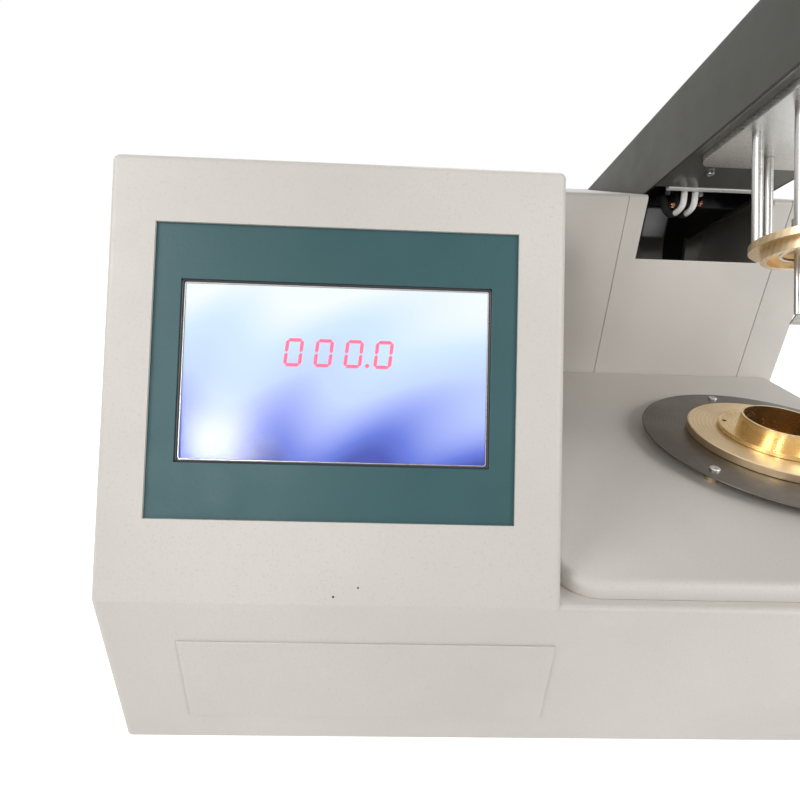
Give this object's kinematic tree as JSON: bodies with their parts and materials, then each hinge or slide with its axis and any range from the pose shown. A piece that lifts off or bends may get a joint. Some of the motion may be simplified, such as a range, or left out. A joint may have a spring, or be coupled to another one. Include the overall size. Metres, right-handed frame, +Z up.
{
  "type": "flash point tester",
  "caption": "Bench closed-cup flash point tester with a slanted screen console, a heated stove and a tilting arm that lowers a stirred lid onto the cup.",
  "frame": {"origin": "middle of the bounding box at bench level, under the feet", "axes": "+X to the right along the front, +Y from the front to the back, +Z up"},
  "size_m": [0.545, 0.515, 0.4334],
  "materials": {
    "cream_paint": "fine textured powder coat",
    "green_paint": "satin enamel",
    "arm_paint": "satin enamel",
    "polished_steel": "polished",
    "sheet_steel": "plain",
    "brass": "turned",
    "cast_metal": "machined",
    "cup_brass": "polished",
    "aluminium": "satin",
    "black_plastic": "satin",
    "white_plastic": "smooth",
    "module_metal": "satin",
    "screen_glass": "clear",
    "display": "lit picture",
    "circuit": "solder mask",
    "insulation": "fibre",
    "rubber": "matte"
  },
  "bodies": {
    "base": {"cabinet_shell": "cream_paint", "front_hatch": "cream_paint", "bottom_plate": "cream_paint", "rear_panel": "cream_paint", "rubber_feet": "rubber", "foot_screws": "sheet_steel", "screen_bezel": "green_paint", "lcd_frame": "module_metal", "touch_glass": "screen_glass", "lcd_panel": "display", "control_board": "circuit", "power_supply": "sheet_steel", "deck_pad": "cream_paint", "stove_spacers": "brass", "stove_plate": "sheet_steel", "stove_screws": "sheet_steel", "seat_ring": "brass", "air_bath": "cast_metal", "band_heater": "sheet_steel", "bath_insulation": "insulation", "bath_stand": "sheet_steel", "tower_cover": "cream_paint", "hinge_brackets": "sheet_steel", "shaft_bushes": "brass", "lift_gearmotor": "aluminium", "fan_frame": "black_plastic", "fan_guard": "sheet_steel", "power_inlet": "black_plastic", "switch_housing": "black_plastic", "fuse_holder": "black_plastic", "gas_inlet": "brass", "needle_valve": "brass", "panel_screws": "sheet_steel", "valve_block": "polished_steel"},
    "arm": {"arm_cover": "arm_paint", "arm_underplate": "polished_steel", "arm_frame": "sheet_steel", "arm_crossplate": "sheet_steel", "hinge_shaft": "sheet_steel", "shaft_collars": "sheet_steel", "hose_bar": "white_plastic", "gas_hoses": "white_plastic", "carrier_plate": "aluminium", "carrier_posts": "sheet_steel", "lid": "brass", "shutter_retainer": "brass", "stirrer_motor": "aluminium", "shutter_motor": "aluminium", "temperature_probe": "sheet_steel", "flash_detector": "sheet_steel", "igniter_bracket": "sheet_steel"},
    "stirrer": {"stirrer": "sheet_steel"},
    "shutter": {"shutter": "brass"},
    "spindle": {"shutter_spindle": "sheet_steel"},
    "igniter": {"igniter": "sheet_steel"},
    "rocker": {"power_rocker": "black_plastic"},
    "fan": {"fan_rotor": "black_plastic"},
    "knob": {"gas_knob": "black_plastic"},
    "fuse": {"fuse_cap": "black_plastic"},
    "cup": {"test_cup": "cup_brass"}
  },
  "joints": [
    {"name": "arm_tilt", "type": "hinge", "parent": "base", "child": "arm", "pos_m": [0.1575, 0.1645, 0.15], "axis": [1, 0, 0], "range_deg": [0, 25.5]},
    {"name": "stirrer_spin", "type": "hinge", "parent": "arm", "child": "stirrer", "pos_m": [0.1575, -0.08595, 0.26602], "axis": [0, 0.4305, 0.9026], "continuous": true},
    {"name": "shutter_turn", "type": "hinge", "parent": "arm", "child": "shutter", "pos_m": [0.1575, -0.08354, 0.27108], "axis": [0, 0.4305, 0.9026], "range_deg": [0, 30]},
    {"name": "spindle_turn", "type": "hinge", "parent": "arm", "child": "spindle", "pos_m": [0.1575, -0.04292, 0.25171], "axis": [0, 0.4305, 0.9026], "range_deg": [-120, 0]},
    {"name": "igniter_dip", "type": "hinge", "parent": "arm", "child": "igniter", "pos_m": [0.1575, -0.10962, 0.29537], "axis": [1, 0, 0], "range_deg": [-30, 0]},
    {"name": "rocker_tip", "type": "hinge", "parent": "base", "child": "rocker", "pos_m": [-0.1605, 0.2395, 0.062], "axis": [1, 0, 0], "range_deg": [-8, 8]},
    {"name": "fan_spin", "type": "hinge", "parent": "base", "child": "fan", "pos_m": [-0.1625, 0.2415, 0.2], "axis": [0, 1, 0], "continuous": true},
    {"name": "gas_knob_turn", "type": "hinge", "parent": "base", "child": "knob", "pos_m": [0.1575, 0.2415, 0.07], "axis": [0, 1, 0], "range_deg": [0, 270]},
    {"name": "fuse_cap_turn", "type": "hinge", "parent": "base", "child": "fuse", "pos_m": [-0.1225, 0.2415, 0.062], "axis": [0, 1, 0], "range_deg": [0, 90]},
    {"name": "cup_lift", "type": "slide", "parent": "base", "child": "cup", "axis": [0, 0, -1], "range_m": [-0.055, 0]}
  ],
  "couplings": [
    {"joint": "spindle_turn", "follows": "shutter_turn", "ratio": -4},
    {"joint": "igniter_dip", "follows": "shutter_turn", "ratio": -1}
  ]
}
